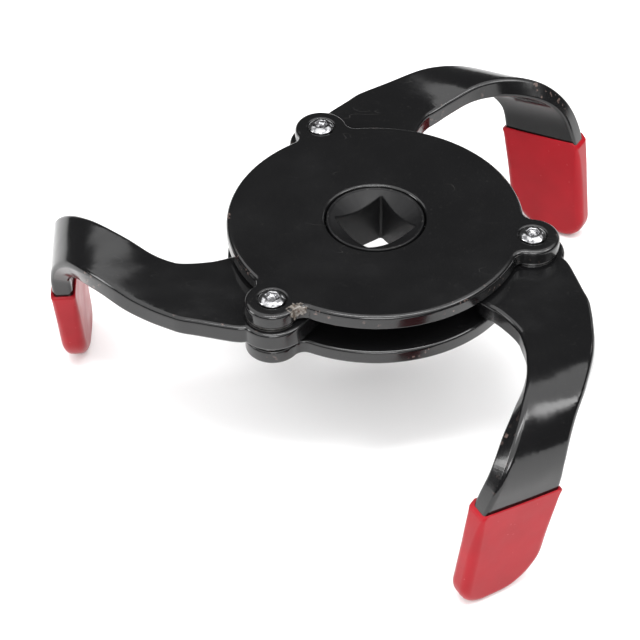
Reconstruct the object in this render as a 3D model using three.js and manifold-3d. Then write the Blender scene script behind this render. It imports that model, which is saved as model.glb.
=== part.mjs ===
// Three-jaw oil filter wrench: two eared plates, a square-drive sun gear between them, and three hooked
// arms whose geared ends mesh with it, so that turning the drive swings all three jaws together.
// Millimetres, +Z up. The wrench stands on its three jaw tips.
import * as THREE from "three";
import { mergeVertices } from "three/addons/utils/BufferGeometryUtils.js";
import Module from "manifold-3d";

const wasm = await Module();
wasm.setup();

// ---- driving dimensions -------------------------------------------------------------------------------

const ARM_COUNT = 3;
const PIVOT_RADIUS = 35; // hub axis to pivot axis
const PLATE_RADIUS = 33;
const PLATE_THICK = 3.5;
const PLATE_GAP = 6.5; // space between the two plates
const EAR_RADIUS = 6; // rounded ear round each pivot
const EAR_FILLET = 2.5; // hollow curve from the ear into the disc
const RIM_CHAMFER = 0.6; // broken edge all round each plate

const TOOTH_MODULE = 2;
const PRESSURE_ANGLE = THREE.MathUtils.degToRad(20);
const SUN_TEETH = 15;
const SECTOR_TEETH = 20; // teeth that a whole gear of the sector's size would have
const SECTOR_CUT_TEETH = 4; // teeth that the arm really carries
const SECTOR_FIRST = THREE.MathUtils.degToRad(171); // direction of its first tooth from the pivot
const ROOT_DEPTH = 1.25; // in modules, below the pitch circle
const BACKLASH = 0.25; // thinning of each tooth at the pitch circle

const JOURNAL_RADIUS = 10.9; // drive hub where it turns in the plates
const JOURNAL_GAP = 0.3;
const DRIVE_SQUARE = 12.9; // across flats: a half-inch drive with its clearance
const MOUTH_SLOPE = THREE.MathUtils.degToRad(30); // cone that leads the drive into the square
const MOUTH_LIP = 0.2; // flat ring left outside the cone
const HUB_BOTTOM_CHAMFER = 0.8;

const ARM_THICK = 4.6;
const ARM_BOSS_RADIUS = 7.3;
const FACE_GAP = 0.3; // clearance between two faces that nearly touch

const SCREW_RADIUS = 2;
const SCREW_END_CHAMFER = 0.4;
const HEAD_RADIUS = 2.95;
const HEAD_HEIGHT = 1.6;
const HEAD_RIM = 0.5; // upright edge of the head, below its dome
const HEAD_SEAT_RADIUS = 3.4; // shallow spot face round each screw head
const HEAD_SEAT_DEPTH = 0.6;
const HEX_ACROSS = 2.4;
const HEX_DEPTH = 1;
const BUSH_RADIUS = 3.4;
const BUSH_WALL = 1.1;
const RUNNING_GAP = 0.2;
const WASHER_RADIUS = 5.6;
const UPPER_WASHER_THICK = 0.4; // a shim: the arms ride close under the top plate
const LOWER_WASHER_THICK = 1;
const SHIM_GAP = 0.1; // clearance on each side of the shim

const SLEEVE_GAP = 0.15; // steel to dipped sleeve
const SLEEVE_WALL = 0.5;

// The strap rises a little on one arc, and then bends down into the jaw on another. It rises more
// towards its leading edge, which gives it a slight twist. Both radii are at the middle of the metal.
const FOLD_HEADING = THREE.MathUtils.degToRad(41); // direction of the fold line in the arm's own frame
const JAW_DISTANCE = 70.8; // hub axis to the middle of the jaw's thickness, along the fold's normal
const RISE_RADIUS = 12;
const RISE_ANGLE = THREE.MathUtils.degToRad(28.5); // where the place along the fold line is 0
const RISE_TWIST = THREE.MathUtils.degToRad(-0.57); // change of that angle for each millimetre along it
const BEND_RADIUS = 13.5;
const JAW_ANGLE = THREE.MathUtils.degToRad(93); // slope of the jaw below level: it leans in by 3 degrees
const BEND_SPREAD = 1; // the bend squeezes the metal this much wider inside, and draws it in outside
const SPREAD_FROM = 51.5;
const SPREAD_LENGTH = 32;
const TIP_ROUND_LEADING = 5.5;
const TIP_ROUND_TRAILING = 8.5;

// Edges of the strap as flat metal, before bending: distance from the hub along the fold's normal, then the
// place along the fold line.
const LEADING_EDGE = [
  [43, 9.3],
  [50, 6.4],
  [57, 1.8],
  [64, -4.9],
  [70, -10.3],
  [77, -14.9],
  [84, -18],
  [93, -20],
  [112.8, -22.4],
];
const TRAILING_EDGE = [
  [43, 27.9],
  [50, 24],
  [57, 19.3],
  [64, 12.5],
  [70, 6.2],
  [76, 2.2],
  [83, 0.4],
  [109.1, -3.9],
];
const SLEEVE_FROM_LEADING = 85; // where the sleeve begins on each edge
const SLEEVE_FROM_TRAILING = 83.2;
const SLEEVE_TIP_WALL = 1.2; // plastic beyond the end of the steel

// Flat outline of the arm, measured from the hub axis. The front edge runs from the gear teeth to the strap,
// and the back edge runs from the strap to the pivot boss.
const BOSS_SHOULDER = [
  [35, 7.3],
  [27, 6.8],
  [18.2, 5.2],
];
const FRONT_EDGE = [
  [25.5, -18.4],
  [30.6, -21.9],
];
const BACK_EDGE = [
  [47.4, -10.6],
  [43.8, -3.2],
];
const BACK_EDGE_MEETS_BOSS = THREE.MathUtils.degToRad(-10);
const STRAP_OVERLAP = 1; // how far the flat part runs on into the strap

// Heights, measured from the top plate's upper face.
const GAP_TOP = -PLATE_THICK;
const GAP_BOTTOM = GAP_TOP - PLATE_GAP;
const HUB_BOTTOM = GAP_BOTTOM - PLATE_THICK; // level with the lower plate's underside
const ARM_TOP = GAP_TOP - UPPER_WASHER_THICK - 2 * SHIM_GAP;
const ARM_BOTTOM = ARM_TOP - ARM_THICK;
const ARM_MIDDLE = (ARM_TOP + ARM_BOTTOM) / 2;

const PAST = 1; // how far a cut runs past the face that it opens
const CIRCLE_STEPS = 36;
const SMALL_CIRCLE_STEPS = 24;
const OUTLINE_STEPS = 5; // along each span of a curved outline
const EAR_STEPS = 14;
const FILLET_STEPS = 4;
const DISC_STEPS = 18; // between two ears
const DOME_STEPS = 4;
const STRAP_ROWS = 44;
const STRAP_COLUMNS = 3;
const SLEEVE_ROWS = 16;

// ---- materials ----------------------------------------------------------------------------------------

const paint = new THREE.MeshStandardMaterial({ color: 0x1c1c1e, roughness: 0.22, metalness: 0.1 });
const dippedPlastic = new THREE.MeshStandardMaterial({ color: 0xc21a20, roughness: 0.45, metalness: 0 });
const chrome = new THREE.MeshStandardMaterial({ color: 0xd8dade, roughness: 0.12, metalness: 1 });
const blackOxide = new THREE.MeshStandardMaterial({ color: 0x26272a, roughness: 0.35, metalness: 0.6 });
const plainSteel = new THREE.MeshStandardMaterial({ color: 0x9a9b9e, roughness: 0.35, metalness: 0.95 });

// ---- helpers ------------------------------------------------------------------------------------------

// A closed geometry as a solid that can be joined and cut.
function solid(geometry) {
  const bare = geometry.clone();
  bare.deleteAttribute("normal");
  bare.deleteAttribute("uv");
  const merged = mergeVertices(bare, 1e-4);
  const mesh = new wasm.Mesh({
    numProp: 3,
    vertProperties: new Float32Array(merged.attributes.position.array),
    triVerts: new Uint32Array(merged.index.array),
  });
  return new wasm.Manifold(mesh);
}

function geometryOf(body) {
  const mesh = body.getMesh();
  const geometry = new THREE.BufferGeometry();
  geometry.setAttribute("position", new THREE.BufferAttribute(mesh.vertProperties, 3));
  geometry.setIndex(new THREE.BufferAttribute(mesh.triVerts, 1));
  geometry.computeVertexNormals();
  return geometry;
}

// A body of revolution about Z from [radius, height] pairs that run upwards.
function turned(profile, steps = CIRCLE_STEPS) {
  const points = profile.map(([radius, height]) => new THREE.Vector2(radius, height));
  const geometry = new THREE.LatheGeometry(points, steps);
  geometry.rotateX(Math.PI / 2);
  return solid(geometry);
}

function disc(radius, bottom, top, steps = CIRCLE_STEPS) {
  return turned([[0, bottom], [radius, bottom], [radius, top], [0, top]], steps);
}

// Points of an arc in order, without its last one, so that arcs can follow each other.
function arc(centreX, centreY, radius, from, to, steps) {
  const points = [];
  for (let i = 0; i < steps; i += 1) {
    const angle = from + ((to - from) * i) / steps;
    points.push(new THREE.Vector2(centreX + radius * Math.cos(angle), centreY + radius * Math.sin(angle)));
  }
  return points;
}

// A flat outline raised from one height to another, with a broken edge where chamfer isn't 0.
function raised(shape, bottom, top, chamfer = 0) {
  const geometry = new THREE.ExtrudeGeometry(shape, {
    depth: top - bottom - 2 * chamfer,
    bevelEnabled: chamfer > 0,
    bevelThickness: chamfer,
    bevelSize: chamfer,
    bevelOffset: -chamfer,
    bevelSegments: 1,
    curveSegments: OUTLINE_STEPS,
  });
  geometry.translate(0, 0, bottom + chamfer);
  return solid(geometry);
}

function polygon(sides, acrossFlats, turn) {
  const corner = acrossFlats / 2 / Math.cos(Math.PI / sides);
  const points = [];
  for (let i = 0; i < sides; i += 1) {
    const angle = turn + (i * 2 * Math.PI) / sides;
    points.push(new THREE.Vector2(corner * Math.cos(angle), corner * Math.sin(angle)));
  }
  return new THREE.Shape(points);
}

function named(name, body, material) {
  const mesh = new THREE.Mesh(geometryOf(body), material);
  mesh.name = name;
  return mesh;
}

// ---- gear teeth ---------------------------------------------------------------------------------------

const involute = (angle) => Math.tan(angle) - angle;

// Half the angle that a tooth covers at a radius, from the involute of its base circle.
function toothHalfAngle(teeth, radius) {
  const pitch = (TOOTH_MODULE * teeth) / 2;
  const base = pitch * Math.cos(PRESSURE_ANGLE);
  const atPitch = Math.PI / (2 * teeth) - BACKLASH / (2 * pitch);
  const pressure = Math.acos(Math.min(1, base / radius));
  return atPitch + involute(PRESSURE_ANGLE) - involute(pressure);
}

// Outline of one tooth about its centre line, from its root on the clockwise side to the other root.
function toothPoints(teeth, centre) {
  const pitch = (TOOTH_MODULE * teeth) / 2;
  const root = pitch - ROOT_DEPTH * TOOTH_MODULE;
  const tip = pitch + TOOTH_MODULE;
  const radii = [root, pitch - TOOTH_MODULE / 2, pitch, pitch + TOOTH_MODULE / 2, tip];
  const flank = radii.map((radius) => [radius, toothHalfAngle(teeth, radius)]);
  const rising = flank.map(([radius, half]) => [radius, centre - half]);
  const falling = flank.reverse().map(([radius, half]) => [radius, centre + half]);
  return [...rising, ...falling].map(
    ([radius, angle]) => new THREE.Vector2(radius * Math.cos(angle), radius * Math.sin(angle)),
  );
}

// ---- plates -------------------------------------------------------------------------------------------

// Disc with three ears: each ear's arc meets the disc through a hollow fillet that touches both circles.
function plateShape() {
  const toFillet = PLATE_RADIUS + EAR_FILLET;
  const earToFillet = EAR_RADIUS + EAR_FILLET;
  const discShare = (toFillet ** 2 + PIVOT_RADIUS ** 2 - earToFillet ** 2) / (2 * toFillet * PIVOT_RADIUS);
  const earShare = (PIVOT_RADIUS ** 2 + earToFillet ** 2 - toFillet ** 2) / (2 * earToFillet * PIVOT_RADIUS);
  const spread = Math.acos(discShare); // angle at the hub between the ear and a fillet's centre
  const earSide = Math.acos(earShare); // angle at the pivot between the hub and a fillet's centre
  const sector = (2 * Math.PI) / ARM_COUNT;
  const earHalf = Math.PI - earSide;
  const points = [];
  for (let i = 0; i < ARM_COUNT; i += 1) {
    const turn = i * sector;
    const at = (radius, angle) => [radius * Math.cos(turn + angle), radius * Math.sin(turn + angle)];
    const before = [turn + Math.PI - spread, turn + earSide];
    const after = [turn - earSide, turn + spread - Math.PI];
    points.push(...arc(...at(toFillet, -spread), EAR_FILLET, ...before, FILLET_STEPS));
    points.push(...arc(...at(PIVOT_RADIUS, 0), EAR_RADIUS, turn - earHalf, turn + earHalf, EAR_STEPS));
    points.push(...arc(...at(toFillet, spread), EAR_FILLET, ...after, FILLET_STEPS));
    points.push(...arc(0, 0, PLATE_RADIUS, turn + spread, turn + sector - spread, DISC_STEPS));
  }
  return new THREE.Shape(points);
}

function plate(bottom, spotFaced) {
  const top = bottom + PLATE_THICK;
  const bore = disc(JOURNAL_RADIUS + JOURNAL_GAP, bottom - PAST, top + PAST);
  let body = raised(plateShape(), bottom, top, RIM_CHAMFER).subtract(bore);
  for (let i = 0; i < ARM_COUNT; i += 1) {
    const hole = disc(SCREW_RADIUS + FACE_GAP, bottom - PAST, top + PAST, SMALL_CIRCLE_STEPS);
    const spotFace = disc(HEAD_SEAT_RADIUS, top - HEAD_SEAT_DEPTH, top + PAST, SMALL_CIRCLE_STEPS);
    const cut = spotFaced ? hole.add(spotFace) : hole;
    body = body.subtract(cut.translate([PIVOT_RADIUS, 0, 0]).rotate([0, 0, (i * 360) / ARM_COUNT]));
  }
  return body;
}

// ---- drive hub ----------------------------------------------------------------------------------------

function driveHub() {
  const points = [];
  for (let i = 0; i < SUN_TEETH; i += 1) {
    points.push(...toothPoints(SUN_TEETH, (i * 2 * Math.PI) / SUN_TEETH));
  }
  const gear = raised(new THREE.Shape(points), GAP_BOTTOM + FACE_GAP, GAP_TOP - FACE_GAP);
  const journal = turned([
    [0, HUB_BOTTOM],
    [JOURNAL_RADIUS - HUB_BOTTOM_CHAMFER, HUB_BOTTOM],
    [JOURNAL_RADIUS, HUB_BOTTOM + HUB_BOTTOM_CHAMFER],
    [JOURNAL_RADIUS, 0],
    [0, 0],
  ]);
  const square = raised(polygon(4, DRIVE_SQUARE, 0), HUB_BOTTOM - PAST, PAST);
  const mouthRadius = JOURNAL_RADIUS - MOUTH_LIP;
  const mouth = turned([
    [0, -mouthRadius * Math.tan(MOUTH_SLOPE)],
    [mouthRadius, 0],
    [mouthRadius, PAST],
    [0, PAST],
  ]);
  return gear.add(journal).subtract(square).subtract(mouth);
}

// ---- arm ----------------------------------------------------------------------------------------------

const foldAlong = new THREE.Vector2(Math.cos(FOLD_HEADING), Math.sin(FOLD_HEADING));
const foldNormal = new THREE.Vector2(Math.sin(FOLD_HEADING), -Math.cos(FOLD_HEADING));

// From flat metal to the bent strap: out is the distance along the fold's normal, along is the place on the
// fold line, and lift is the height above the middle of the metal.
function bent(out, along, lift) {
  const rise = RISE_ANGLE + RISE_TWIST * along;
  const riseStart =
    JAW_DISTANCE - (RISE_RADIUS + BEND_RADIUS) * Math.sin(rise) - BEND_RADIUS * Math.sin(JAW_ANGLE);
  const riseLength = RISE_RADIUS * rise;
  const bendLength = BEND_RADIUS * (rise + JAW_ANGLE);
  const pastStart = out - riseStart;
  const up = THREE.MathUtils.clamp(pastStart, 0, riseLength) / RISE_RADIUS; // angle turned on each arc
  const down = THREE.MathUtils.clamp(pastStart - riseLength, 0, bendLength) / BEND_RADIUS;
  const slope = up - down;
  const beyond = Math.max(0, pastStart - riseLength - bendLength);
  const reach =
    Math.min(out, riseStart) +
    RISE_RADIUS * Math.sin(up) +
    BEND_RADIUS * (Math.sin(rise) - Math.sin(rise - down)) +
    beyond * Math.cos(JAW_ANGLE) -
    lift * Math.sin(slope);
  const height =
    RISE_RADIUS * (1 - Math.cos(up)) +
    BEND_RADIUS * (Math.cos(rise - down) - Math.cos(rise)) -
    beyond * Math.sin(JAW_ANGLE) +
    lift * Math.cos(slope);
  const x = reach * foldNormal.x + along * foldAlong.x;
  const y = reach * foldNormal.y + along * foldAlong.y;
  return [x, y, ARM_MIDDLE + height];
}

// How much each side of the strap moves out on its lower face, and in on its upper one.
function spreadAt(out) {
  const share = THREE.MathUtils.clamp((out - SPREAD_FROM) / SPREAD_LENGTH, 0, 1);
  return BEND_SPREAD * Math.sin(Math.PI * share) ** 2;
}

const edgeCurve = (pairs) => new THREE.SplineCurve(pairs.map((pair) => new THREE.Vector2(...pair)));
const leadingCurve = edgeCurve(LEADING_EDGE);
const trailingCurve = edgeCurve(TRAILING_EDGE);

// The share along an edge curve where it reaches a distance, found by halving.
function shareAt(curve, out) {
  const halvings = 30;
  let low = 0;
  let high = 1;
  for (let i = 0; i < halvings; i += 1) {
    const middle = (low + high) / 2;
    if (curve.getPoint(middle).x < out) low = middle;
    else high = middle;
  }
  return low;
}

// How far a rounded corner has drawn in at a distance from the tip.
function cornerInset(radius, toTip) {
  const short = Math.max(0, radius - toTip);
  return radius - Math.sqrt(radius ** 2 - short ** 2);
}

// A closed strap from a line across it, given as shares along both edges, to the rounded tip. grow thickens
// it and widens it all round, and longer stretches its second half, so that the tip ends that much further.
function strap({ fromLeading, fromTrailing, rows, across, grow, longer }) {
  const positions = [];
  const grid = [];
  const half = ARM_THICK / 2 + grow;
  for (let i = 0; i <= rows; i += 1) {
    const t = i / rows;
    const lead = leadingCurve.getPoint(THREE.MathUtils.lerp(fromLeading, 1, t));
    const trail = trailingCurve.getPoint(THREE.MathUtils.lerp(fromTrailing, 1, t));
    const side = trail.clone().sub(lead).normalize();
    const leadInset = cornerInset(TIP_ROUND_LEADING, leadingCurve.getPoint(1).x - lead.x);
    const trailInset = cornerInset(TIP_ROUND_TRAILING, trailingCurve.getPoint(1).x - trail.x);
    lead.addScaledVector(side, leadInset - grow);
    trail.addScaledVector(side, grow - trailInset);
    const push = longer * THREE.MathUtils.smoothstep(t, 0.5, 1);
    const ring = [];
    for (const lift of [half, -half]) {
      for (let j = 0; j <= across; j += 1) {
        const s = lift > 0 ? j / across : 1 - j / across;
        const spot = lead.clone().lerp(trail, s);
        const spread = (1 - 2 * s) * Math.sign(lift) * spreadAt(spot.x);
        ring.push(positions.length / 3);
        positions.push(...bent(spot.x + push, spot.y + spread, lift));
      }
    }
    grid.push(ring);
  }
  const faces = [];
  const count = grid[0].length;
  for (let i = 0; i < rows; i += 1) {
    for (let j = 0; j < count; j += 1) {
      const k = (j + 1) % count;
      faces.push(grid[i][j], grid[i + 1][j], grid[i][k]);
      faces.push(grid[i][k], grid[i + 1][j], grid[i + 1][k]);
    }
  }
  const [start, end] = [grid[0], grid[rows]];
  for (let j = 0; j < across; j += 1) {
    const [a, b, c, d] = [j, j + 1, count - 2 - j, count - 1 - j];
    faces.push(start[a], start[b], start[d], start[b], start[c], start[d]);
    faces.push(end[a], end[d], end[b], end[b], end[d], end[c]);
  }
  const geometry = new THREE.BufferGeometry();
  geometry.setAttribute("position", new THREE.Float32BufferAttribute(positions, 3));
  geometry.setIndex(faces);
  return solid(geometry);
}

// Flat part of the arm about its pivot: boss, geared sector facing the hub, and both edges up to the strap.
function armPlateShape() {
  const fromPivot = ([x, y]) => new THREE.Vector2(x - PIVOT_RADIUS, y);
  const joinAt = LEADING_EDGE[0][0] + STRAP_OVERLAP;
  const joinPoint = (curve) => {
    const { x, y } = curve.getPoint(shareAt(curve, joinAt));
    return fromPivot(bent(x, y, 0));
  };
  const join = [joinPoint(leadingCurve), joinPoint(trailingCurve)];
  const shape = new THREE.Shape(BOSS_SHOULDER.map(fromPivot));
  for (let i = 0; i < SECTOR_CUT_TEETH; i += 1) {
    const centre = SECTOR_FIRST + (i * 2 * Math.PI) / SECTOR_TEETH;
    toothPoints(SECTOR_TEETH, centre).forEach((point) => shape.lineTo(point.x, point.y));
  }
  shape.splineThru([...FRONT_EDGE.map(fromPivot), join[0]]);
  shape.lineTo(join[1].x, join[1].y);
  shape.splineThru(BACK_EDGE.map(fromPivot));
  shape.absarc(0, 0, ARM_BOSS_RADIUS, BACK_EDGE_MEETS_BOSS, Math.PI / 2, false);
  return shape;
}

const armPlate = raised(armPlateShape(), ARM_BOTTOM, ARM_TOP)
  .subtract(disc(BUSH_RADIUS + RUNNING_GAP, ARM_BOTTOM - PAST, ARM_TOP + PAST, SMALL_CIRCLE_STEPS))
  .translate([PIVOT_RADIUS, 0, 0]);
const wholeStrap = { fromLeading: 0, fromTrailing: 0, rows: STRAP_ROWS, across: STRAP_COLUMNS };
const armBody = armPlate.add(strap({ ...wholeStrap, grow: 0, longer: 0 }));

const sleeveOuter = strap({
  fromLeading: shareAt(leadingCurve, SLEEVE_FROM_LEADING),
  fromTrailing: shareAt(trailingCurve, SLEEVE_FROM_TRAILING),
  rows: SLEEVE_ROWS,
  across: STRAP_COLUMNS,
  grow: SLEEVE_GAP + SLEEVE_WALL,
  longer: SLEEVE_GAP + SLEEVE_TIP_WALL,
});
const sleeveInner = strap({ ...wholeStrap, grow: SLEEVE_GAP, longer: SLEEVE_GAP });
const sleeveBody = sleeveOuter.subtract(sleeveInner);

// ---- pivot hardware -----------------------------------------------------------------------------------

// Button-head screw: the head's dome is a part of a sphere from its upright rim to the top.
function pivotScrew() {
  const seat = -HEAD_SEAT_DEPTH + FACE_GAP;
  const top = seat + HEAD_HEIGHT;
  const rise = HEAD_HEIGHT - HEAD_RIM;
  const sphere = (HEAD_RADIUS ** 2 + rise ** 2) / (2 * rise);
  const widest = Math.asin(HEAD_RADIUS / sphere);
  const dome = arc(0, top - sphere, sphere, Math.PI / 2 - widest, Math.PI / 2, DOME_STEPS);
  const body = turned(
    [
      [0, HUB_BOTTOM],
      [SCREW_RADIUS - SCREW_END_CHAMFER, HUB_BOTTOM],
      [SCREW_RADIUS, HUB_BOTTOM + SCREW_END_CHAMFER],
      [SCREW_RADIUS, seat],
      [HEAD_RADIUS, seat],
      ...dome.map(({ x, y }) => [x, y]),
      [0, top],
    ],
    SMALL_CIRCLE_STEPS,
  );
  return body.subtract(raised(polygon(6, HEX_ACROSS, 0), top - HEX_DEPTH, top + PAST));
}

function ring(outer, inner, bottom, top) {
  const hole = disc(inner, bottom - PAST, top + PAST, SMALL_CIRCLE_STEPS);
  return disc(outer, bottom, top, SMALL_CIRCLE_STEPS).subtract(hole);
}

function pivotBush() {
  return ring(BUSH_RADIUS, BUSH_RADIUS - BUSH_WALL, GAP_BOTTOM + FACE_GAP, GAP_TOP - FACE_GAP);
}

// A washer round the bush that fills a thickness in the middle of the space between two faces.
function pivotWasher(lowerFace, upperFace, thick) {
  const bottom = (lowerFace + upperFace - thick) / 2;
  return ring(WASHER_RADIUS, BUSH_RADIUS + RUNNING_GAP, bottom, bottom + thick);
}

// ---- assembly -----------------------------------------------------------------------------------------

const wrench = new THREE.Group();
wrench.add(named("top_plate", plate(GAP_TOP, true), paint));
wrench.add(named("bottom_plate", plate(HUB_BOTTOM, false), paint));
wrench.add(named("drive_hub", driveHub(), blackOxide));

const atPivot = [PIVOT_RADIUS, 0, 0];
const upperWasher = pivotWasher(ARM_TOP, GAP_TOP, UPPER_WASHER_THICK).translate(atPivot);
const lowerWasher = pivotWasher(GAP_BOTTOM, ARM_BOTTOM, LOWER_WASHER_THICK).translate(atPivot);
for (let i = 0; i < ARM_COUNT; i += 1) {
  const station = new THREE.Group();
  station.rotation.z = (i * 2 * Math.PI) / ARM_COUNT;
  station.add(named(`arm_${i + 1}`, armBody, paint));
  station.add(named(`jaw_sleeve_${i + 1}`, sleeveBody, dippedPlastic));
  station.add(named(`pivot_screw_${i + 1}`, pivotScrew().translate(atPivot), chrome));
  station.add(named(`pivot_bush_${i + 1}`, pivotBush().translate(atPivot), plainSteel));
  station.add(named(`washer_upper_${i + 1}`, upperWasher, plainSteel));
  station.add(named(`washer_lower_${i + 1}`, lowerWasher, plainSteel));
  wrench.add(station);
}

// The origin is the middle of the space that the wrench fills, at the level of its jaw tips.
wrench.updateMatrixWorld(true);
const space = new THREE.Box3().setFromObject(wrench, true);
const centre = space.getCenter(new THREE.Vector3());
wrench.position.set(-centre.x, -centre.y, -space.min.z);

export default wrench;
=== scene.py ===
"""The looks of the three-jaw oil filter wrench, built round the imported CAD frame.

Shapes are worked out in millimetres, in the wrench's own frame: the hub axis is x = y = 0 and the top
plate's upper face is z = 0. to_row() takes them to the row frame, in metres, with the hub's place read
from the frame.
"""
import math

import bmesh
import bpy
import numpy as np
from mathutils import Matrix, Vector

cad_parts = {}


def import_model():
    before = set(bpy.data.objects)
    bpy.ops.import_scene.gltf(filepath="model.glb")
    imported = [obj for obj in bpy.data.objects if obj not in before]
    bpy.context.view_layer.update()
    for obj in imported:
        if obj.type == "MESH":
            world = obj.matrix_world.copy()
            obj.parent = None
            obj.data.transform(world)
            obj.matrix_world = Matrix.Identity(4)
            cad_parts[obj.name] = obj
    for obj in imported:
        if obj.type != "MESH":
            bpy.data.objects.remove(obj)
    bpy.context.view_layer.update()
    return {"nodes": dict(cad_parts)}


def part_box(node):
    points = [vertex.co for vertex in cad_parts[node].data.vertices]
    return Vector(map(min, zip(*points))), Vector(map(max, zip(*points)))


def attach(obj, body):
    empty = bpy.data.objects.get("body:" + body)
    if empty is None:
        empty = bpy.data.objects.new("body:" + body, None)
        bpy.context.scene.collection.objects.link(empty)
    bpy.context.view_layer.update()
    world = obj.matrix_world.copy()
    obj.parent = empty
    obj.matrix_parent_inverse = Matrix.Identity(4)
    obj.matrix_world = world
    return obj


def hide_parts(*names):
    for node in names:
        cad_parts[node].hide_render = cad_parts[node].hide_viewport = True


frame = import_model()

MM = 0.001
ARM_COUNT = 3
SECTOR = 2 * math.pi / ARM_COUNT

# ---- sizes repeated from the CAD source, in millimetres --------------------------------------------------

PIVOT_RADIUS = 35.0
PLATE_RADIUS = 33.0
PLATE_THICK = 3.5
PLATE_GAP = 6.5
EAR_RADIUS = 6.0
EAR_FILLET = 2.5

TOOTH_MODULE = 2.0
PRESSURE_ANGLE = math.radians(20)
SUN_TEETH = 15
SECTOR_TEETH = 20
SECTOR_CUT_TEETH = 4
SECTOR_FIRST = math.radians(171)
ROOT_DEPTH = 1.25
BACKLASH = 0.25

JOURNAL_RADIUS = 10.9
JOURNAL_GAP = 0.3
DRIVE_SQUARE = 12.9
MOUTH_SLOPE = math.radians(30)
HUB_BOTTOM_CHAMFER = 0.8

ARM_THICK = 4.6
ARM_BOSS_RADIUS = 7.3
FACE_GAP = 0.3
SCREW_RADIUS = 2.0
SCREW_END_CHAMFER = 0.4
HEAD_RADIUS = 2.95
HEAD_HEIGHT = 1.6
HEAD_SEAT_DEPTH = 0.6
HEX_ACROSS = 2.4
HEX_DEPTH = 1.0
BUSH_RADIUS = 3.4
RUNNING_GAP = 0.2
UPPER_WASHER_THICK = 0.4
SHIM_GAP = 0.1

FOLD_HEADING = math.radians(41)
JAW_DISTANCE = 70.8
RISE_RADIUS = 12.0
RISE_ANGLE = math.radians(28.5)
RISE_TWIST = math.radians(-0.57)
BEND_RADIUS = 13.5
JAW_ANGLE = math.radians(93)
BEND_SPREAD = 1.0
SPREAD_FROM = 51.5
SPREAD_LENGTH = 32.0
TIP_ROUND_LEADING = 5.5
TIP_ROUND_TRAILING = 8.5
SLEEVE_FROM_LEADING = 85.0
SLEEVE_FROM_TRAILING = 83.2
SLEEVE_GAP = 0.15
SLEEVE_WALL = 0.5
SLEEVE_TIP_WALL = 1.2

# The strap's edges as flat metal: distance from the hub along the fold's normal, place along the fold line.
LEADING_EDGE = [(43, 9.3), (50, 6.4), (57, 1.8), (64, -4.9), (70, -10.3), (77, -14.9), (84, -18)]
LEADING_EDGE += [(93, -20), (112.8, -22.4)]
TRAILING_EDGE = [(43, 27.9), (50, 24), (57, 19.3), (64, 12.5), (70, 6.2), (76, 2.2), (83, 0.4)]
TRAILING_EDGE += [(109.1, -3.9)]

# The rest of the arm's flat outline, as x and y from the hub.
BOSS_SHOULDER = [(35, 7.3), (27, 6.8), (18.2, 5.2)]
FRONT_EDGE = [(25.5, -18.4), (30.6, -21.9)]
BACK_EDGE = [(47.4, -10.6), (43.8, -3.2)]
BACK_EDGE_MEETS_BOSS = math.radians(-10)

GAP_TOP = -PLATE_THICK
GAP_BOTTOM = GAP_TOP - PLATE_GAP
HUB_BOTTOM = GAP_BOTTOM - PLATE_THICK
ARM_TOP = GAP_TOP - UPPER_WASHER_THICK - 2 * SHIM_GAP
ARM_MIDDLE = ARM_TOP - ARM_THICK / 2

# ---- sizes that only the looks use, in millimetres -------------------------------------------------------

# Plates: how round the rims are above and below, the flat border beside every edge, the broken edges of
# the holes, and the gap round each screw head.
TOP_PLATE_ROUNDS = (0.95, 0.5)
BOTTOM_PLATE_ROUNDS = (0.8, 0.6)
FLAT_BORDER = 0.4
HUB_HOLE_BREAK = 0.4
HOLE_BREAK = 0.2
HEAD_GAP = 0.18
SPOT_FACE_BREAK = 0.25
SPOT_FACE_BREAK_DEPTH = 0.15

# Drive hub: the lip in the top plate, and the cone and its soft edge round the square.
HUB_LIP = 0.35
HUB_LIP_STEPS = 9
GEAR_EDGE_BREAK = 0.15
ROOT_FILLET = 0.35
SQUARE_CORNER_ROUND = 0.6
SQUARE_LOWER_BREAK = 0.3
MOUTH_START = 0.1
CONE_DROP = 0.15
CONE_STOP = 0.25
CONE_SHARES = (0.0, 0.2, 0.4, 0.6, 0.8, 0.93, 1.0)
SQUARE_EDGE_OUTS_AND_DROPS = ((0.16, 0.19), (0.07, 0.27), (0.02, 0.38), (0.0, 0.55))
SQUARE_WALL_DROP = 1.2

# Arms: how round the edges are, and where flat metal is cut so that it can curve (start, end, step).
SHOULDER_ROUND = 0.35
TOOTH_ROUND = 0.12
EDGE_ROUND = 0.9
ARM_BORE_BREAK = 0.3
CUTS_ACROSS = (43.0, 84.0, 0.6)
CUTS_ALONG = (-18.0, 26.0, 2.2)
# The bends ease in and out: at these distances from the hub, the line is averaged so far to either side.
EASE_PLACES = (50.0, 64.0)
EASE_LENGTHS = (4.5, 1.8)

# Sleeves: the skin lies a little inside the CAD sleeve, and gets rounder between two distances from its
# mouth. A groove takes the metal in, all across the mouth but for the lip.
SLEEVE_INSIDE = 0.1
MOUTH_ROUND = 1.2
TIP_ROUND = 2.0
LIP_ROUND = 0.3
ROUNDS_CHANGE = (3.0, 12.0)
GROOVE_DEPTH = 0.6
GROOVE_INSET = 0.9 * LIP_ROUND
ON_MOUTH = 0.02

# Pivot screws: the head's small edges, the dome as shares of its angle, and the lip of the hex socket.
HEAD_FOOT_BREAK = 0.12
HEAD_RIM = 0.45
DOME_SHARES = (0.96, 0.9, 0.8, 0.7, 0.62)
SOCKET_LIP_OUTS_AND_RISES = ((0.22, 0.03), (0.08, -0.02), (0.0, -0.14))
SOCKET_CENTRE_RADIUS = 0.3
SOCKET_CENTRE_DROP = 0.25
SHANK_END_RADIUS = 0.4

# ---- camera, lights and floor, in metres -----------------------------------------------------------------

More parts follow.
